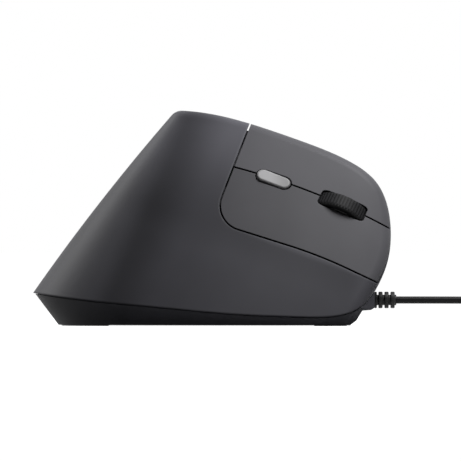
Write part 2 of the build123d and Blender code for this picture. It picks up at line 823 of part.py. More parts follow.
# Ribbed strain relief: flange, neck in the nose, four ribs on a core
boot_core_radius = 1.75
boot_rear, boot_end = 49.0 * length_factor, 60.9 * length_factor
boot_ribs = [(53.7, 54.5), (55.0, 56.4), (57.0, 58.4), (59.0, 60.4)]
with BuildPart() as cable_boot:
    with BuildSketch(cable_plane.offset(boot_rear)):
        Circle(boot_core_radius)
    extrude(amount=boot_end - boot_rear)
    with BuildSketch(cable_plane.offset(boot_rear)):
        Circle(2.7)
    extrude(amount=nose_inside - 0.1 - boot_rear)
    for rib_from, rib_to in boot_ribs:
        with BuildSketch(cable_plane.offset(rib_from * length_factor)):
            Circle(boot_diameter / 2)
        extrude(amount=rib_to - rib_from)
    rib_edges = cable_boot.edges().filter_by(GeomType.CIRCLE).filter_by(lambda edge: edge.radius > 2.72)
    fillet(rib_edges, radius=0.35)

with BuildPart() as cord_inside:
    with BuildSketch(cable_plane.offset(plug_socket_x)):
        Circle(cord_diameter / 2)
    extrude(amount=boot_rear - plug_socket_x)


# Keys: one skin over the finger face, parted by the seam and opened for the wheel and the speed button
with BuildPart() as wheel_room:
    with BuildSketch(wheel_plane.offset(-wheel_width / 2 - 0.4)):
        Circle(wheel_radius + wheel_gap)
    extrude(amount=wheel_width + 0.8)
    fillet(wheel_room.edges().filter_by(GeomType.CIRCLE), radius=1.2)

flange_gap = 0.4
with BuildPart() as key_skin:
    add(body.part)
    add(key_solid_zone.part, mode=Mode.INTERSECT)
    add(behind_keys(key_travel_room).part, mode=Mode.SUBTRACT)
    add(room.part, mode=Mode.SUBTRACT)
    with BuildSketch(Plane.XZ.offset(-body_width)):
        add(split_band.sketch)
    extrude(amount=2 * body_width, mode=Mode.SUBTRACT)
    with BuildSketch(face.offset(-key_depth)):
        RectangleRounded(wheel_slot_length, wheel_slot_width, wheel_slot_corner)
        with Locations(pill_at):
            SlotOverall(*pill_room)
    extrude(amount=2 * key_depth, mode=Mode.SUBTRACT)
    with BuildSketch(face.offset(pill_low - 1)):
        with Locations(pill_at):
            SlotOverall(pill_room[0] + 2 * flange_reach, pill_room[1] + 2 * flange_reach)
    extrude(amount=flange_thickness + 1 + flange_gap, mode=Mode.SUBTRACT)
    add(wheel_room.part, mode=Mode.SUBTRACT)

skins = key_skin.solids().sort_by(SortBy.VOLUME)[-2:]
right_skin, left_skin = sorted(skins, key=lambda skin: skin.center().Z)


def finished_key(skin, switch_at, tongue_at):
    """Key with the post over its switch and the tongue that it bends on."""
    with BuildPart() as key:
        add(skin)
        with BuildSketch(face.offset(plunger_top + touch_gap)):
            with Locations(switch_at):
                Rectangle(4, 3)
        extrude(amount=-1.2 - plunger_top - touch_gap)
        with BuildSketch(face.offset(tongue_low)):
            with Locations(((riser_rear + riser_front) / 2, tongue_at)):
                Rectangle(riser_front - riser_rear, tongue_width)
        extrude(amount=-2.0 - tongue_low)
        with BuildSketch(face.offset(tongue_low)):
            with Locations(((tongue_rear + riser_front) / 2, tongue_at)):
                Rectangle(riser_front - tongue_rear, tongue_width)
        extrude(amount=tongue_top - tongue_low)
    return key


left_key = finished_key(left_skin, left_switch_at, left_tongue_at)
right_key = finished_key(right_skin, right_switch_at, right_tongue_at)

with BuildPart() as thumb_panel:
    add(body.part)
    add(side_prism(panel_outline(panel_seam), panel_inner_y, body_width).part, mode=Mode.INTERSECT)
    add(room.part, mode=Mode.SUBTRACT)
    add(side_prism(side_button_slots(button_gap), panel_inner_y, body_width).part, mode=Mode.SUBTRACT)


# Shell: the body without its keys, thumb panel and tray, with bosses and holes for its screws
with BuildPart() as shell_void:
    add(room.part)
    with BuildSketch(Plane.XY.offset(boss_level)):
        with Locations(*boss_places):
            Circle(boss_radius)
    extrude(amount=body_height, mode=Mode.SUBTRACT)
    add(key_space.part)
    add(panel_solid.part)
    add(under_rim_solid.part)
    with BuildSketch(Plane.XY.offset(boss_level - 1)):
        with Locations(*boss_places):
            Circle(screw_hole_radius)
    extrude(amount=7.0)
    with BuildSketch(cable_plane.offset(flange_pocket_from)):
        Circle(flange_pocket_radius)
    extrude(amount=nose_inside - flange_pocket_from)
    with BuildSketch(cable_plane.offset(nose_inside - 1)):
        Circle(boot_neck_radius)
    extrude(amount=8.0)

with BuildPart() as main_shell:
    add(body.part)
    add(shell_void.part, mode=Mode.SUBTRACT)


# Cord outside the mouse: down to the desk, into a neat coil of layers, and off its top to the plug
cord_radius = cord_diameter / 2
coil_x = 128.0 * length_factor
coil_pitch, coil_rise = 2.85, 2.9
coil_outer_radius, coil_halves, coil_layers = 19.2, 7, 4
coil_step_in = 1.5
coil_middle = (coil_x, cord_side + coil_outer_radius)


def coil_stations():
    """Radius and height at each half turn: layers wind in and out, and climb where they reverse."""
    radius, height, way = coil_outer_radius, cord_radius, -1
    stations = [(radius, height)]
    for layer in range(coil_layers):
        halves = coil_halves + (1 if layer == coil_layers - 1 else 0)
        for half in range(halves):
            first = layer > 0 and half == 0
            radius += way * (coil_pitch if first else coil_pitch / 2)
            stations.append((radius, height))
        if layer < coil_layers - 1:
            radius += way * coil_step_in
            height += coil_rise
            stations.append((radius, height))
            way = -way
    return stations


def coil_point(index, station):
    """Place of a half turn's end: on the near side for even ones, on the far side for odd ones."""
    radius, height = station
    turn = -1 if index % 2 == 0 else 1
    return Vector(coil_middle[0], coil_middle[1] + turn * radius, height)


coil_ends = [coil_point(index, station) for index, station in enumerate(coil_stations())]
with BuildLine() as coil_path:
    heading = Vector(1, 0, 0)
    Line(coil_ends[0] - heading * cord_diameter, coil_ends[0])
    for start, end in zip(coil_ends, coil_ends[1:]):
        half = (end - start).length / 2
        top = start + (end - start) * 0.5 + heading * half
        first = TangentArc(start, top, tangent=heading)
        TangentArc(top, end, tangent=first % 1)
        heading = heading * -1
    Line(coil_ends[-1], coil_ends[-1] + heading * cord_diameter)
coil_from, coil_to = coil_path.wires()[0] @ 0, coil_path.wires()[0] @ 1

plug_half_height = 4.2
plug_from = coil_x + 30.0
tail_end = Vector(plug_from, coil_ends[-1].Y, plug_half_height)
run_points = [Vector(boot_end, cord_side, cord_height), Vector(74.5, cord_side, cord_height),
              Vector(92, cord_side, cord_height - 0.1), Vector(110, cord_side, cord_radius), coil_from]
tail_points = [coil_to, coil_to + Vector(8, 0, 0), tail_end - Vector(8, 0, 0), tail_end]


def bend_radii(points):
    """Bend radii of a cord, from its runs and the turns between them."""
    radii = []
    for before, corner, after in zip(points, points[1:], points[2:]):
        turn = (corner - before).get_angle(after - corner)
        shorter = min((corner - before).length, (after - corner).length)
        radii.append(0.45 * shorter / math.tan(math.radians(turn / 2)))
    return radii


def cord_line(points):
    """Cord route through its corners."""
    with BuildLine() as line:
        FilletPolyline(*points, radius=bend_radii(points))
    return line


def cord_tube(line):
    """Round cord along a route."""
    wire = line.wires()[0]
    with BuildPart() as tube:
        with BuildSketch(Plane(origin=wire @ 0, z_dir=wire % 0)):
            Circle(cord_radius)
        sweep(path=wire)
    return tube


run_line, tail_line = cord_line(run_points), cord_line(tail_points)
cord_run, cord_coil, cord_tail = cord_tube(run_line), cord_tube(coil_path), cord_tube(tail_line)
print("bend radii", [round(radius, 1) for radius in bend_radii(run_points) + bend_radii(tail_points)])
cord_length = sum(line.wires()[0].length for line in (run_line, coil_path, tail_line))
print("cord length outside the mouse", round(cord_length, 1))


def least_gap():
    """Least gap of the wound cord to itself, on points of its whole route."""
    points, along, done = [], [], 0.0
    for line in (run_line, coil_path, tail_line):
        for edge in line.wires()[0].edges():
            count = max(2, int(edge.length))
            for k in range(count):
                points.append(edge @ (k / count))
                along.append(done + edge.length * k / count)
            done += edge.length
    nearest = body_length
    for i, here in enumerate(points):
        for j in range(i + 1, len(points)):
            if along[j] - along[i] > 4 * cord_diameter:
                nearest = min(nearest, (here - points[j]).length)
    return nearest - cord_diameter


print("least gap of the cord to itself", round(least_gap(), 2))

# Plug: overmould with a stepped neck, metal shell and contact tongue
plug_length, plug_width = 22.0, 15.4
plug_plane = Plane(origin=tail_end, x_dir=(0, 1, 0), z_dir=(1, 0, 0))
shell_length, shell_width, shell_height = 12.0, 12.0, 4.5
with BuildPart() as plug_overmould:
    with BuildSketch(plug_plane.offset(2.0)):
        RectangleRounded(plug_width, 2 * plug_half_height, 2.2)
    extrude(amount=plug_length - 2.0)
    with BuildSketch(plug_plane):
        Circle(2.4)
    extrude(amount=2.0)
    chamfer(plug_overmould.faces().sort_by(Axis.X)[-1].edges(), length=0.5)
with BuildPart() as plug_shell:
    with BuildSketch(plug_plane.offset(plug_length)):
        RectangleRounded(shell_width, shell_height, 0.6)
        RectangleRounded(shell_width - 0.6, shell_height - 0.6, 0.3, mode=Mode.SUBTRACT)
    extrude(amount=shell_length)
    with BuildSketch(Plane.XY.offset(plug_half_height)):
        window_x = plug_from + plug_length + 6.4
        with Locations((window_x, tail_end.Y - 2.7), (window_x, tail_end.Y + 2.7)):
            Rectangle(2.4, 1.9)
    extrude(amount=body_height, both=True, mode=Mode.SUBTRACT)
with BuildPart() as plug_tongue:
    with BuildSketch(plug_plane.offset(plug_length)):
        with Locations((0, 0.95)):
            Rectangle(shell_width - 0.8, 1.8)
    extrude(amount=shell_length - 0.6)


# Everything is centred over the desk origin by the main shell, then written one file a piece
shell_box = main_shell.part.bounding_box()
centre = Location((-shell_box.center().X, -shell_box.center().Y, 0))
pieces = {
    "main_shell": main_shell, "thumb_panel": thumb_panel, "left_key": left_key, "right_key": right_key,
    "speed_button": speed_button, "back_button": back_button, "forward_button": forward_button,
    "base_tray": base_tray, "rear_foot": rear_foot, "front_foot": front_foot, "base_screws": base_screws,
    "wheel_tyre": wheel_tyre, "wheel_hub": wheel_hub, "wheel_carriage": wheel_carriage,
    "wheel_emitter": wheel_emitter, "wheel_receiver": wheel_receiver, "inner_frame": inner_frame,
    "button_board": button_board, "board_screws": board_screws, "left_switch": left_switch,
    "left_plunger": left_plunger, "right_switch": right_switch, "right_plunger": right_plunger,
    "speed_switch": speed_switch, "speed_plunger": speed_plunger, "click_switch": click_switch,
    "click_plunger": click_plunger, "side_board": side_board, "back_switch": back_switch,
    "back_plunger": back_plunger, "forward_switch": forward_switch, "forward_plunger": forward_plunger,
    "main_board": main_board, "tray_screws": tray_screws, "sensor": sensor, "sensor_lens": sensor_lens,
    "sensor_light": sensor_light, "cable_socket": cable_socket, "cable_boot": cable_boot,
    "cord_inside": cord_inside, "cord_run": cord_run, "cord_coil": cord_coil, "cord_tail": cord_tail,
    "plug_overmould": plug_overmould, "plug_shell": plug_shell, "plug_tongue": plug_tongue,
}
for name, piece in pieces.items():
    placed = piece.part.moved(centre)
    placed.label = name
    export_step(placed, f"parts/{name}.step")
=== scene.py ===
"""Looks of the vertical mouse: camera, cord and its tie, finishes, the tray's rim, desk and light."""
import json
import math

import bmesh
import bpy
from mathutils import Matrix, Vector


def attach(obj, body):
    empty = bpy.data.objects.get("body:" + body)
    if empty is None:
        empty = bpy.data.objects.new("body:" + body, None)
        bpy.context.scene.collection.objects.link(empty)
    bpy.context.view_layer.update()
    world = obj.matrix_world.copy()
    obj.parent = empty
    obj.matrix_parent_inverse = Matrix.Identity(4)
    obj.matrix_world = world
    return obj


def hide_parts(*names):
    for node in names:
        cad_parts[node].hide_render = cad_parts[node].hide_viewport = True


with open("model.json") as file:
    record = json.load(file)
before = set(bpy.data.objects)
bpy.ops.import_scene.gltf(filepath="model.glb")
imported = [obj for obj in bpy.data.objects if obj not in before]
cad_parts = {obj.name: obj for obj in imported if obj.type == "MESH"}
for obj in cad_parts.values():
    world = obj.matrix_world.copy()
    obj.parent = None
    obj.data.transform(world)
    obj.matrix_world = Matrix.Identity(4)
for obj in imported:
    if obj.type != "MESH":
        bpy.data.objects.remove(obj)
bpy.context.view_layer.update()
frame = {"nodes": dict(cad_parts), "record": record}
nodes = frame["nodes"]
scene = bpy.context.scene
MM = 0.001

# Photograph's view: straight onto the finger side through a long lens
PICTURE_WIDE = 461
PIXEL = 118.0 / 357.4
VIEW_X, VIEW_Z = 6.2, 31.5
FACE_Y = -14.0
LENS, SENSOR = 1500.0, 36.0
CLIP_NEAR, CLIP_FAR = 0.1, 80.0


def add_camera():
    """Camera that frames the mouse as the photograph does."""
    data = bpy.data.cameras.new("photo_camera")
    data.lens, data.sensor_width, data.sensor_fit = LENS, SENSOR, "HORIZONTAL"
    data.clip_start, data.clip_end = CLIP_NEAR, CLIP_FAR
    camera = bpy.data.objects.new("photo_camera", data)
    distance = PICTURE_WIDE * PIXEL * LENS / SENSOR
    camera.location = Vector((VIEW_X, FACE_Y - distance, VIEW_Z)) * MM
    camera.rotation_euler = (math.radians(90), 0, 0)
    scene.collection.objects.link(camera)
    scene.camera = camera


add_camera()

# How far the frame's middle lies from the middle that the cord's places were drawn from
SHIFT_X, SHIFT_Y = 0.1555, 1.0121

# Cord: its size, where it leaves the boot, and where it stops being level, falls, and reaches the desk
CORD_D = 2.4
CORD_R = CORD_D / 2
CORD_Y = 2.0 + SHIFT_Y
EXIT_X, EXIT_Z = 60.9 + SHIFT_X, 8.5
LEVEL_TO = 74.5 + SHIFT_X
FALL_X, FALL_Z = 92.0 + SHIFT_X, 8.4
DESK_X = 110.0 + SHIFT_X

# Coil: layers of half turns, wound inwards and outwards by turns, with a step onwards at the end of each
COIL_X = 128.0 + SHIFT_X
COIL_OUT, COIL_PITCH, COIL_RISE = 19.2, 2.85, 2.9
COIL_HALVES, COIL_LAYERS, COIL_STEP_IN = 7, 4, 1.5
COIL_Y = CORD_Y + COIL_OUT
COIL_LEAD = 4
POINTS_A_HALF = 8

# Points of a turn lie this much outside it, because the smooth curve runs inside them
TURN_SPREAD = 1.02

# Way off the coil's top and straight into the plug
LEAVE_COIL = (3, 10)
PLUG_X, PLUG_Z = 158.0 + SHIFT_X, 4.2
PLUG_LEAD = 9

# Strap round the coil on the side of the mouse, and the height above which its end laps over it
TIE_WIDE, TIE_THICK, TIE_LAP_FROM = 6.0, 0.6, 3.0
TIE_ROUND = 24


def coil_stations():
    """Radius and height at each half turn of the coil."""
    radius, height, way = COIL_OUT, CORD_R, -1
    stations = [(radius, height)]
    for layer in range(COIL_LAYERS):
        halves = COIL_HALVES + (1 if layer == COIL_LAYERS - 1 else 0)
        for half in range(halves):
            first = layer > 0 and half == 0
            radius += way * (COIL_PITCH if first else COIL_PITCH / 2)
            stations.append((radius, height))
        if layer < COIL_LAYERS - 1:
            radius += way * COIL_STEP_IN
            height += COIL_RISE
            stations.append((radius, height))
            way = -way
    return stations


def coil_turns():
    """Points round the coil, with radius and height eased from one half turn to the next."""
    stations = coil_stations()
    points = []
    for index, ((r0, z0), (r1, z1)) in enumerate(zip(stations, stations[1:])):
        side = -1 if index % 2 == 0 else 1
        middle_y = COIL_Y + side * (r0 - r1) / 2
        radius = (r0 + r1) / 2 * TURN_SPREAD
        for step in range(POINTS_A_HALF):
            share = (step + 0.5) / POINTS_A_HALF
            angle = math.pi * share
            x = COIL_X - side * radius * math.sin(angle)
            y = middle_y + side * radius * math.cos(angle)
            z = z0 + (z1 - z0) * (0.5 - 0.5 * math.cos(angle))
            points.append((x, y, z))
    return points


def cord_route():
    """Control points of the whole free cord, in millimetres."""
    last_radius, top_z = coil_stations()[-1]
    out_y = COIL_Y - last_radius
    run = [(EXIT_X, CORD_Y, EXIT_Z), (LEVEL_TO, CORD_Y, EXIT_Z), (FALL_X, CORD_Y, FALL_Z),
           (DESK_X, CORD_Y, CORD_R), (COIL_X - COIL_LEAD, CORD_Y, CORD_R)]
    off = [(COIL_X + lead, out_y, top_z) for lead in LEAVE_COIL]
    plug = [(PLUG_X - PLUG_LEAD, out_y, PLUG_Z), (PLUG_X, out_y, PLUG_Z)]
    return run + coil_turns() + off + plug


def add_cord():
    """Round jacketed cord along its route."""
    curve = bpy.data.curves.new("cord", "CURVE")
    curve.dimensions = "3D"
    spline = curve.splines.new("NURBS")
    points = cord_route()
    spline.points.add(len(points) - 1)
    for spot, (x, y, z) in zip(spline.points, points):
        spot.co = (x * MM, y * MM, z * MM, 1.0)
        spot.radius = CORD_R * MM
    spline.order_u = 3
    spline.use_endpoint_u = True
    curve.resolution_u = 3
    curve.bevel_depth = 1.0
    curve.bevel_resolution = 4
    curve.use_fill_caps = True
    cord = bpy.data.objects.new("cord", curve)
    scene.collection.objects.link(cord)
    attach(cord, "housing")
    return cord


def add_run(points, faces, rings, closed):
    """Rings of corners joined by faces, either round to the first ring or capped at both ends."""
    start, size = len(points), len(rings[0])
    for ring in rings:
        points.extend(ring)
    for index in range(len(rings) if closed else len(rings) - 1):
        here, there = start + index * size, start + (index + 1) % len(rings) * size
        for corner in range(size):
            after = (corner + 1) % size
            faces.append((here + corner, here + after, there + after, there + corner))
    if not closed:
        last = start + (len(rings) - 1) * size
        faces.append(tuple(range(start + size - 1, start - 1, -1)))
        faces.append(tuple(range(last, last + size)))


def add_piece(name, form):
    """Piece of the housing from a mesh in work."""
    mesh = bpy.data.meshes.new(name)
    form.to_mesh(mesh)
    form.free()
    piece = bpy.data.objects.new(name, mesh)
    scene.collection.objects.link(piece)
    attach(piece, "housing")
    return piece


def mesh_in_work(points, faces):
    """Mesh from points and faces, open for changes, with its faces turned outwards."""
    mesh = bpy.data.meshes.new("in_work")
    mesh.from_pydata(points, [], faces)
    form = bmesh.new()
    form.from_mesh(mesh)
    bpy.data.meshes.remove(mesh)
    bmesh.ops.recalc_face_normals(form, faces=form.faces)
    return form


def turns_right(first, second, third):
    """Whether three points in a row don't turn to the left."""
    turn = (second[0] - first[0]) * (third[1] - first[1]) - (second[1] - first[1]) * (third[0] - first[0])
    return turn <= 1e-9


def tie_loop():
    """Taut outline round one side of the coil: radius and height, each with its outward direction."""
    stations = coil_stations()
    spots = []
    for (r0, z0), (r1, z1) in list(zip(stations, stations[1:]))[1::2]:
        radius, height = (r0 + r1) / 2 * TURN_SPREAD, (z0 + z1) / 2
        for step in range(TIE_ROUND):
            angle = 2 * math.pi * step / TIE_ROUND
            out = (math.cos(angle), math.sin(angle))
            spots.append(((radius + CORD_R * out[0], height + CORD_R * out[1]), out))
    spots.sort()
    outline = []
    for row in (spots, spots[::-1]):
        half = []
        for spot in row:
            while len(half) > 1 and turns_right(half[-2][0], half[-1][0], spot[0]):
                half.pop()
            half.append(spot)
        outline += half[:-1]
    return outline


def tie_ring(spot, lift, lowest):
    """Four corners of the strap's section at one point of its outline, lifted off it, in metres."""
    (radius, height), (out_r, out_z) = spot
    corners = []
    for grow, across_y in ((0, -1), (0, 1), (TIE_THICK, 1), (TIE_THICK, -1)):
        x = COIL_X - radius - (lift + grow) * out_r
        z = max(height + (lift + grow) * out_z, 0 if grow else lowest)
        corners.append((x * MM, (COIL_Y + across_y * TIE_WIDE / 2) * MM, z * MM))
    return corners


def add_tie():
    """Woven strap round the coil, with its end lapped over the outer side."""
    loop = tie_loop()
    lapped = [spot for spot in loop if spot[0][0] > COIL_OUT - CORD_D and spot[0][1] > TIE_LAP_FROM]
    points, faces = [], []
    add_run(points, faces, [tie_ring(spot, 0, TIE_THICK) for spot in loop], True)
    add_run(points, faces, [tie_ring(spot, TIE_THICK, 0) for spot in lapped], False)
    return add_piece("cord_tie", mesh_in_work(points, faces))


cord = add_cord()
tie = add_tie()
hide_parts("cord_run", "cord_coil", "cord_tail")


def feed(tree, slot, value):
    """Links another node's output to an input, or gives the input a fixed value."""
    if isinstance(value, bpy.types.NodeSocket):
        tree.links.new(value, slot)
    else:
        slot.default_value = value


def maths(tree, operation, first, second):
    """Result of one sum on two values."""
    node = tree.nodes.new("ShaderNodeMath")
    node.operation = operation
    feed(tree, node.inputs[0], first)
    feed(tree, node.inputs[1], second)
    return node.outputs[0]


def vector_maths(tree, operation, result, first, second=(0, 0, 0)):
    """Result of one sum on two vectors."""
    node = tree.nodes.new("ShaderNodeVectorMath")
    node.operation = operation
    feed(tree, node.inputs[0], first)
    feed(tree, node.inputs[1], second)
    return node.outputs[result]


def ramp(tree, value, low, high, at_low, at_high, way="SMOOTHSTEP"):
    """Value that goes from one end to the other between two places."""
    node = tree.nodes.new("ShaderNodeMapRange")
    node.interpolation_type = way
    ends = zip(("Value", "From Min", "From Max", "To Min", "To Max"), (value, low, high, at_low, at_high))
    for label, end in ends:
        feed(tree, node.inputs[label], end)
    return node.outputs["Result"]


def blend(tree, share, first, second):
    """Colour between two colours."""
    node = tree.nodes.new("ShaderNodeMix")
    node.data_type = "RGBA"
    feed(tree, node.inputs["Factor"], share)
    feed(tree, node.inputs["A"], first)
    feed(tree, node.inputs["B"], second)
    return node.outputs["Result"]


def place_on_piece(tree):
    """Place on the piece, in metres of its own frame."""
    return tree.nodes.new("ShaderNodeTexCoord").outputs["Object"]


def across(tree, way):
    """Distance along a direction, in millimetres of the piece's own frame."""
    return vector_maths(tree, "DOT_PRODUCT", "Value", place_on_piece(tree), [share / MM for share in way])


def group(name, inputs, outputs):
    """Empty shader node group with named sockets."""
    tree = bpy.data.node_groups.new(name, "ShaderNodeTree")
    for label, value in inputs:
        socket = tree.interface.new_socket(name=label, in_out="INPUT", socket_type="NodeSocketFloat")
        socket.default_value = value
    for label, kind in outputs:
        tree.interface.new_socket(name=label, in_out="OUTPUT", socket_type=kind)
    return tree, tree.nodes.new("NodeGroupInput"), tree.nodes.new("NodeGroupOutput")


def moulded_grain():
    """Spark-eroded mould texture: height of its fine grain, and slow changes of tone."""
    tree, entry, way_out = group("moulded_grain", [("Grain Size mm", 0.25), ("Tone Size mm", 18.0)],
                                 [("Height", "NodeSocketFloat"), ("Tone", "NodeSocketFloat")])
    place = place_on_piece(tree)
    for label, out, detail in (("Grain Size mm", "Height", 3.0), ("Tone Size mm", "Tone", 2.0)):
        noise = tree.nodes.new("ShaderNodeTexNoise")
        feed(tree, noise.inputs["Vector"], place)
        feed(tree, noise.inputs["Scale"], maths(tree, "DIVIDE", 1 / MM, entry.outputs[label]))
        feed(tree, noise.inputs["Detail"], detail)
        feed(tree, way_out.inputs[out], noise.outputs["Fac"])
    return tree


# Likeness of the rounded and the flat normal at which an edge counts as sharp
SHARP_EDGE = 0.75


def soft_edges():
    """Rounded normal near sharp edges, and a mask of where they are."""
    tree, entry, way_out = group("soft_edges", [("Radius mm", 0.3)],
                                 [("Normal", "NodeSocketVector"), ("Edge", "NodeSocketFloat")])
    bevel = tree.nodes.new("ShaderNodeBevel")
    bevel.samples = 8
    feed(tree, bevel.inputs["Radius"], maths(tree, "MULTIPLY", entry.outputs["Radius mm"], MM))
    plain = tree.nodes.new("ShaderNodeNewGeometry")
    likeness = vector_maths(tree, "DOT_PRODUCT", "Value", bevel.outputs["Normal"], plain.outputs["Normal"])
    feed(tree, way_out.inputs["Normal"], bevel.outputs["Normal"])
    feed(tree, way_out.inputs["Edge"], ramp(tree, likeness, 1.0, SHARP_EDGE, 0.0, 1.0, "LINEAR"))
    return tree


# Directions in the side view: up, along the mouse, off the slope of its tail, and down from the keys' seam
UP, ALONG = (0, 0, 1), (1, 0, 0)
OFF_TAIL, BELOW_KEYS = (1, 0, -0.43), (-0.366, 0, -1)

# Painted light and shade on the shell, each between two places along a direction: painted light on the crown,
# a painted highlight line at the tail, painted band of shade before it, painted light at the front, and
# painted shade in the hollow below the keys
SHELL_PAINTED_SHADING = [
    (UP, 36.0, 68.0, 1.0, 2.0),
    (OFF_TAIL, -61.0, -56.5, 1.28, 1.0),
    (OFF_TAIL, -44.5, -36.5, 1.0, 0.58),
    (OFF_TAIL, -36.5, -21.0, 1.0, 1.74),
    (ALONG, 44.0, 53.0, 1.0, 1.4),
    (BELOW_KEYS, -34.0, -23.0, 0.82, 1.03),
]

# Painted highlight along the keys' lower seam: its two sides, and how strong it is from end to end
SEAM_PAINTED_HIGHLIGHT = [
    (BELOW_KEYS, -38.5, -37.0, 0.0, 1.0),
    (BELOW_KEYS, -35.2, -33.4, 1.0, 0.0),
    (ALONG, 6.0, 22.0, 0.0, 0.5),
    (ALONG, 46.0, 54.0, 1.0, 0.0),
]


def all_painted_tones(tree, tones):
    """Several changes of painted light and shade by place, multiplied."""
    whole = 1.0
    for way, *ends in tones:
        whole = maths(tree, "MULTIPLY", whole, ramp(tree, across(tree, way), *ends))
    return whole


def shell_painted_light_and_shade():
    """Painted light and shade on the shell by place, with the painted highlight along the keys' lower seam.
    """
    tree, _, way_out = group("shell_painted_light_and_shade", [], [("Tone", "NodeSocketFloat")])
    # Painted highlight along the keys' lower seam, added onto the shell's colour
    seam_highlight = maths(tree, "ADD", all_painted_tones(tree, SEAM_PAINTED_HIGHLIGHT), 1.0)
    feed(tree, way_out.inputs["Tone"], maths(tree, "MULTIPLY", all_painted_tones(tree, SHELL_PAINTED_SHADING), seam_highlight))
    return tree


def lengthwise_painted_light():
    """Painted light and shade that changes once along the length of the mouse."""
    ends = (("From mm", 0.0), ("To mm", 1.0), ("Tone From", 1.0), ("Tone To", 1.0))
    tree, entry, way_out = group("lengthwise_painted_light", ends, [("Tone", "NodeSocketFloat")])
    values = [entry.outputs[label] for label, _ in ends]
    feed(tree, way_out.inputs["Tone"], ramp(tree, across(tree, ALONG), *values))
    return tree


# Wheel's tyre over its ribs, how deep the grooves are, and the painted shade of the groove and painted
# highlight of the crest
TYRE_R, RIB_DEEP = 11.3, 0.35
GROOVE_PAINTED_SHADE, CREST_PAINTED_HIGHLIGHT = 0.2, 1.8


def rib_painted_light_and_shade():
    """Rubber of the wheel: darker with painted shade in the grooves, lighter with a painted highlight on the
    crests of its ribs.
    """
    tree, _, way_out = group("rib_painted_light_and_shade", [], [("Tone", "NodeSocketFloat")])
    spin = next(joint for joint in frame["record"]["behaviour"]["joints"] if joint["name"] == "wheel_spin")
    from_hub = vector_maths(tree, "SUBTRACT", "Vector", place_on_piece(tree), spin["pos_m"])
    around = vector_maths(tree, "CROSS_PRODUCT", "Vector", from_hub, spin["axis"])
    out = vector_maths(tree, "LENGTH", "Value", around)
    tone = ramp(tree, out, (TYRE_R - RIB_DEEP) * MM, TYRE_R * MM, GROOVE_PAINTED_SHADE, CREST_PAINTED_HIGHLIGHT)
    feed(tree, way_out.inputs["Tone"], tone)
    return tree


GRAIN = moulded_grain()
EDGES = soft_edges()
LENGTHWISE_PAINTED_LIGHT = lengthwise_painted_light()


def put_in(tree, source, values):
    """Places a node group in a material, with its own values."""
    node = tree.nodes.new("ShaderNodeGroup")
    node.node_tree = source
    for label, value in values.items():
        node.inputs[label].default_value = value
    return node


def new_material(name):
    """Material with its shader, ready to be fed."""
    material = bpy.data.materials.new(name)
    material.use_nodes = True
    tree = material.node_tree
    return material, tree, tree.nodes["Principled BSDF"]


# An edge lightened by wear and a painted highlight is this many times as light as its finish, and a little
# lighter still
WEAR_AND_HIGHLIGHT_TIMES, WEAR_AND_HIGHLIGHT_MORE = 1.6, 0.01


def finish_material(name, colour, roughness, grain=0.25, depth=0.02, tone=0.12, edge=0.0, radius=0.3,
                    specular=0.5, metallic=0.0):
    """Moulded or metal finish: base colour with slow tone changes, fine grain, softened edges, lighter there
    for wear and a painted highlight.
    """
    material, tree, shader = new_material(name)
    shader.inputs["Roughness"].default_value = roughness
    shader.inputs["Specular IOR Level"].default_value = specular
    shader.inputs["Metallic"].default_value = metallic
    texture = put_in(tree, GRAIN, {"Grain Size mm": grain})
    corners = put_in(tree, EDGES, {"Radius mm": radius})
    darker, lighter = [(*[part * share for part in colour], 1) for share in (1 - tone, 1 + tone)]
    # Edges lighter: partly wear, partly a painted highlight
    wear_and_highlight = (*[min(1.0, part * WEAR_AND_HIGHLIGHT_TIMES + WEAR_AND_HIGHLIGHT_MORE) for part in colour], 1)
    plain = blend(tree, texture.outputs["Tone"], darker, lighter)
    wear_and_highlight_share = maths(tree, "MULTIPLY", corners.outputs["Edge"], edge)
    feed(tree, shader.inputs["Base Color"], blend(tree, wear_and_highlight_share, plain, wear_and_highlight))
    bump = tree.nodes.new("ShaderNodeBump")
    bump.inputs["Distance"].default_value = depth * MM
    feed(tree, bump.inputs["Height"], texture.outputs["Height"])
    feed(tree, bump.inputs["Normal"], corners.outputs["Normal"])
    feed(tree, shader.inputs["Normal"], bump.outputs["Normal"])
    return material


def clear_material(name, colour):
    """Clear moulding of the sensor's lens."""
    material, _, shader = new_material(name)
    shader.inputs["Base Color"].default_value = (*colour, 1)
    shader.inputs["Roughness"].default_value = 0.05
    shader.inputs["Transmission Weight"].default_value = 1.0
    shader.inputs["IOR"].default_value = 1.49
    return material


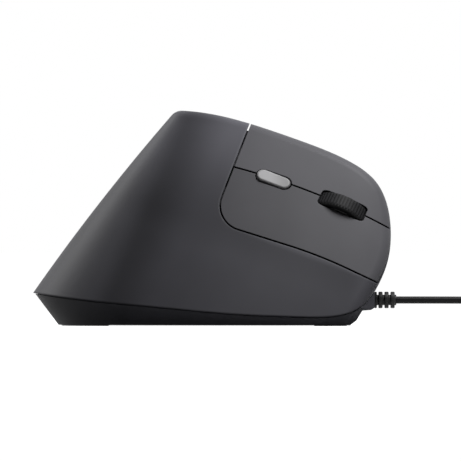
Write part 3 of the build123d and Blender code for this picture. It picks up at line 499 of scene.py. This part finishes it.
KEY_GREY = (0.075, 0.074, 0.0812)
FINISHES = {
    "shell": finish_material("shell_satin", (0.0525, 0.052, 0.0592), 0.5, edge=0.15, depth=0.012, radius=0.9,
                             specular=0.06),
    "key": finish_material("key_satin", KEY_GREY, 0.5, edge=0.1, depth=0.012, specular=0.1),
    # Copy of the key's finish that carries painted light along the lower key
    "lower_key": finish_material("lower_key_satin_painted_light", KEY_GREY, 0.5, edge=0.1, depth=0.012, specular=0.1),
    "panel": finish_material("thumb_grip", (0.028, 0.028, 0.030), 0.62, grain=0.5, depth=0.04, specular=0.2),
    "button": finish_material("grey_button", (0.225, 0.223, 0.23), 0.4, edge=0.1, depth=0.006, specular=0.3),
    "tray": finish_material("tray_matt", (0.03, 0.03, 0.035), 0.6, edge=0.1, specular=0.08),
    "foot": finish_material("slide_foot", (0.02, 0.02, 0.02), 0.35, grain=1.2, depth=0.005),
    "screw": finish_material("screw_steel", (0.45, 0.45, 0.46), 0.3, metallic=1.0, depth=0.004),
    "tyre": finish_material("wheel_rubber", (0.0055, 0.0055, 0.0062), 0.55, grain=0.15, depth=0.01, edge=0.12,
                            radius=0.1, specular=0.11),
    "wheel_plastic": finish_material("inner_plastic", (0.02, 0.02, 0.02), 0.45),
    "beam": finish_material("beam_part", (0.02, 0.01, 0.025), 0.15, depth=0.0),
    "board": finish_material("circuit_board", (0.01, 0.07, 0.02), 0.35, grain=0.6),
    "switch": finish_material("switch_case", (0.015, 0.015, 0.015), 0.4),
    "plunger": finish_material("switch_plunger", (0.6, 0.57, 0.5), 0.4),
    "chip": finish_material("chip_case", (0.012, 0.012, 0.012), 0.5),
    "lamp": finish_material("sensor_lamp", (0.55, 0.05, 0.04), 0.15, depth=0.0),
    "lens": clear_material("lens_clear", (0.9, 0.92, 0.94)),
    "socket": finish_material("socket_nylon", (0.7, 0.68, 0.6), 0.45),
    "boot": finish_material("boot_rubber", (0.009, 0.009, 0.0095), 0.5, grain=0.2, edge=0.1, radius=0.2,
                            specular=0.2),
    "cord": finish_material("cord_jacket", (0.0045, 0.0045, 0.005), 0.42, grain=0.3, depth=0.001, tone=0.05,
                            specular=0.1),
    "tie": finish_material("tie_weave", (0.02, 0.02, 0.022), 0.85, grain=0.6, depth=0.08, specular=0.2),
    "plug": finish_material("plug_moulding", (0.012, 0.012, 0.013), 0.45, specular=0.3),
    "plug_metal": finish_material("plug_nickel", (0.7, 0.7, 0.7), 0.22, metallic=1.0, depth=0.002),
    "tongue": finish_material("plug_tongue_white", (0.75, 0.75, 0.74), 0.4),
}


def multiply_colour(material, tones, values=()):
    """Multiplies a finish's base colour by a group's tone."""
    tree = material.node_tree
    colour = tree.nodes["Principled BSDF"].inputs["Base Color"]
    scale = tree.nodes.new("ShaderNodeVectorMath")
    scale.operation = "SCALE"
    feed(tree, scale.inputs[0], colour.links[0].from_socket)
    feed(tree, scale.inputs["Scale"], put_in(tree, tones, dict(values)).outputs["Tone"])
    feed(tree, colour, scale.outputs["Vector"])


# Painted light and shade multiplied into the shell's colour
multiply_colour(FINISHES["shell"], shell_painted_light_and_shade())
# Painted shade and highlight multiplied into the tyre's colour
multiply_colour(FINISHES["tyre"], rib_painted_light_and_shade())
# Painted light along the lower key and the tray, lighter towards the front, and painted shade on the grey
# button, darker towards its front end
for finish, start, end, at_start, at_end in (("lower_key", 20.0, 62.0, 0.78, 1.13),
                                             ("tray", -58.0, -12.0, 0.25, 1.8),
                                             ("button", 19.0, 25.0, 0.97, 0.52)):
    multiply_colour(FINISHES[finish], LENGTHWISE_PAINTED_LIGHT,
                    {"From mm": start, "To mm": end, "Tone From": at_start, "Tone To": at_end})


def dress(obj, material):
    """Gives a whole piece one finish."""
    obj.data.materials.clear()
    obj.data.materials.append(material)


# Search for the top of the tray's wall: from this height in these steps, until it ends or jumps inwards
EDGE_FROM, EDGE_STEP, EDGE_STEPS, EDGE_JUMP = 2.0, 0.1, 120, 1.5
SEARCH_FROM = 0.1

# Lip: the angles that it runs between, its steps, and its section as inset and rise from the wall's top
LIP_START, LIP_END, LIP_STEPS = 42, 320, 150
LIP_SECTION = [(0.75, -0.5), (0.75, 0.3), (1.6, 0.8), (1.6, -0.5)]

# Plan lines at which the nose's corners end, from the side of the tray to its front
NOSE_CORNERS = {-1: ((49.5, -29.0), (53.9, -23.0)), 1: ((50.5, 35.4), (53.9, 32.6))}
SMOOTH_BELOW = 30


def tray_edge(angle):
    """How far out and how high the tray's wall ends in one direction."""
    way = Vector((math.cos(angle), math.sin(angle), 0))
    found = None
    for step in range(EDGE_STEPS):
        height = (EDGE_FROM + EDGE_STEP * step) * MM
        hit, place, _, _ = nodes["base_tray"].ray_cast(Vector((0, 0, height)) + way * SEARCH_FROM, -way)
        out = place.dot(way) if hit else 0
        if out <= 0 or (found and abs(out - found[0]) > EDGE_JUMP * MM):
            break
        found = (out, height)
    return found


def add_tray_lip():
    """Tongue of the tray's wall that stands in the shell's rim and closes the seam."""
    rings = []
    for step in range(LIP_STEPS + 1):
        angle = math.radians(LIP_START + (LIP_END - LIP_START) * step / LIP_STEPS)
        out, height = tray_edge(angle)
        reaches = [(out - inset * MM, height + rise * MM) for inset, rise in LIP_SECTION]
        rings.append([(far * math.cos(angle), far * math.sin(angle), level) for far, level in reaches])
    points, faces = [], []
    add_run(points, faces, rings, False)
    return add_piece("tray_lip", mesh_in_work(points, faces))


def add_trimmed_tray():
    """Tray with the two front corners of its nose cut back to the shell's outline."""
    form = bmesh.new()
    form.from_mesh(nodes["base_tray"].data)
    bmesh.ops.remove_doubles(form, verts=form.verts, dist=0.0001 * MM)
    for side, (start, end) in NOSE_CORNERS.items():
        outward = Vector((end[1] - start[1], start[0] - end[0], 0)) * -side
        pieces = form.verts[:] + form.edges[:] + form.faces[:]
        cut = bmesh.ops.bisect_plane(form, geom=pieces, plane_co=Vector((*start, 0)) * MM, plane_no=outward,
                                     clear_outer=True)
        rim = [piece for piece in cut["geom_cut"] if isinstance(piece, bmesh.types.BMEdge)]
        bmesh.ops.triangle_fill(form, edges=rim, use_beauty=True)
    bmesh.ops.recalc_face_normals(form, faces=form.faces)
    for face in form.faces:
        face.smooth = True
    for edge in form.edges:
        edge.smooth = edge.is_manifold and edge.calc_face_angle(0.0) < math.radians(SMOOTH_BELOW)
    tray = add_piece("trimmed_tray", form)
    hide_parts("base_tray")
    return tray


# The lip is found on the whole tray, so it comes before the trimmed one takes its place
tray_lip = add_tray_lip()
trimmed_tray = add_trimmed_tray()

slot_of = {part["node"]: part["material_slot"] for part in frame["record"]["subparts"]}
for name, obj in nodes.items():
    dress(obj, FINISHES[slot_of[name]])
for obj, finish in ((nodes["right_key"], "lower_key"), (cord, "cord"), (tie, "tie"), (tray_lip, "tray"),
                    (trimmed_tray, "tray")):
    dress(obj, FINISHES[finish])


def sees_white(tree):
    """One for camera, glossy and clear rays, which see the white backdrop, and nought for the rest."""
    path = tree.nodes.new("ShaderNodeLightPath").outputs
    direct = maths(tree, "MAXIMUM", path["Is Camera Ray"], path["Is Transmission Ray"])
    return maths(tree, "MAXIMUM", direct, path["Is Glossy Ray"])


# Desk: dark to light that bounces off it, near white where it's seen, and its glow between two distances
DESK_FOR_LIGHT, DESK_SEEN = (0.1, 0.1, 0.1, 1), (0.9, 0.9, 0.9, 1)
DESK_GLOW = (0.12, 0.4, 0.8, 1.0)


def desk_white():
    """Desk that takes a soft shadow near the object and is white all round it."""
    material, tree, shader = new_material("desk_white")
    shader.inputs["Roughness"].default_value = 1.0
    shader.inputs["Specular IOR Level"].default_value = 0.0
    seen = sees_white(tree)
    feed(tree, shader.inputs["Base Color"], blend(tree, seen, DESK_FOR_LIGHT, DESK_SEEN))
    reach = vector_maths(tree, "LENGTH", "Value", place_on_piece(tree))
    glow = tree.nodes.new("ShaderNodeEmission")
    glow.inputs["Color"].default_value = (1, 1, 1, 1)
    lift = ramp(tree, reach, *DESK_GLOW, "LINEAR")
    feed(tree, glow.inputs["Strength"], maths(tree, "MULTIPLY", lift, seen))
    both = tree.nodes.new("ShaderNodeAddShader")
    feed(tree, both.inputs[0], shader.outputs[0])
    feed(tree, both.inputs[1], glow.outputs[0])
    feed(tree, tree.nodes["Material Output"].inputs["Surface"], both.outputs[0])
    return material


def add_desk(half):
    """Plain white desk, half its side given in metres."""
    mesh = bpy.data.meshes.new("desk")
    corners = [(-half, -half, 0), (half, -half, 0), (half, half, 0), (-half, half, 0)]
    mesh.from_pydata(corners, [], [(0, 1, 2, 3)])
    desk = bpy.data.objects.new("desk", mesh)
    desk.data.materials.append(desk_white())
    scene.collection.objects.link(desk)


def add_world(light):
    """Even grey light all round, white behind the object."""
    world = bpy.data.worlds.new("studio")
    scene.world = world
    world.use_nodes = True
    tree = world.node_tree
    mix = tree.nodes.new("ShaderNodeMixShader")
    feed(tree, mix.inputs["Fac"], sees_white(tree))
    backgrounds = (tree.nodes["Background"], light), (tree.nodes.new("ShaderNodeBackground"), 1.0)
    for slot, (background, strength) in zip((mix.inputs[1], mix.inputs[2]), backgrounds):
        background.inputs["Color"].default_value = (1, 1, 1, 1)
        background.inputs["Strength"].default_value = strength
        feed(tree, slot, background.outputs[0])
    feed(tree, tree.nodes["World Output"].inputs["Surface"], mix.outputs[0])


def add_lamp(name, place, target, size, power):
    """Soft square lamp aimed at a point, with places and size in millimetres."""
    data = bpy.data.lights.new(name, "AREA")
    data.shape = "RECTANGLE"
    data.size = data.size_y = size * MM
    data.energy = power
    lamp = bpy.data.objects.new(name, data)
    lamp.location = Vector(place) * MM
    lamp.rotation_euler = (Vector(target) - Vector(place)).to_track_quat("-Z", "Y").to_euler()
    scene.collection.objects.link(lamp)


add_desk(20.0)
add_world(0.035)
add_lamp("top_soft", (112, -55, 235), (5, 0, 35), 100, 0.78)
add_lamp("rear_rim", (-640, 600, 600), (-20, 0, 35), 300, 4.0)

scene.view_settings.view_transform = "Standard"
bpy.context.view_layer.update()
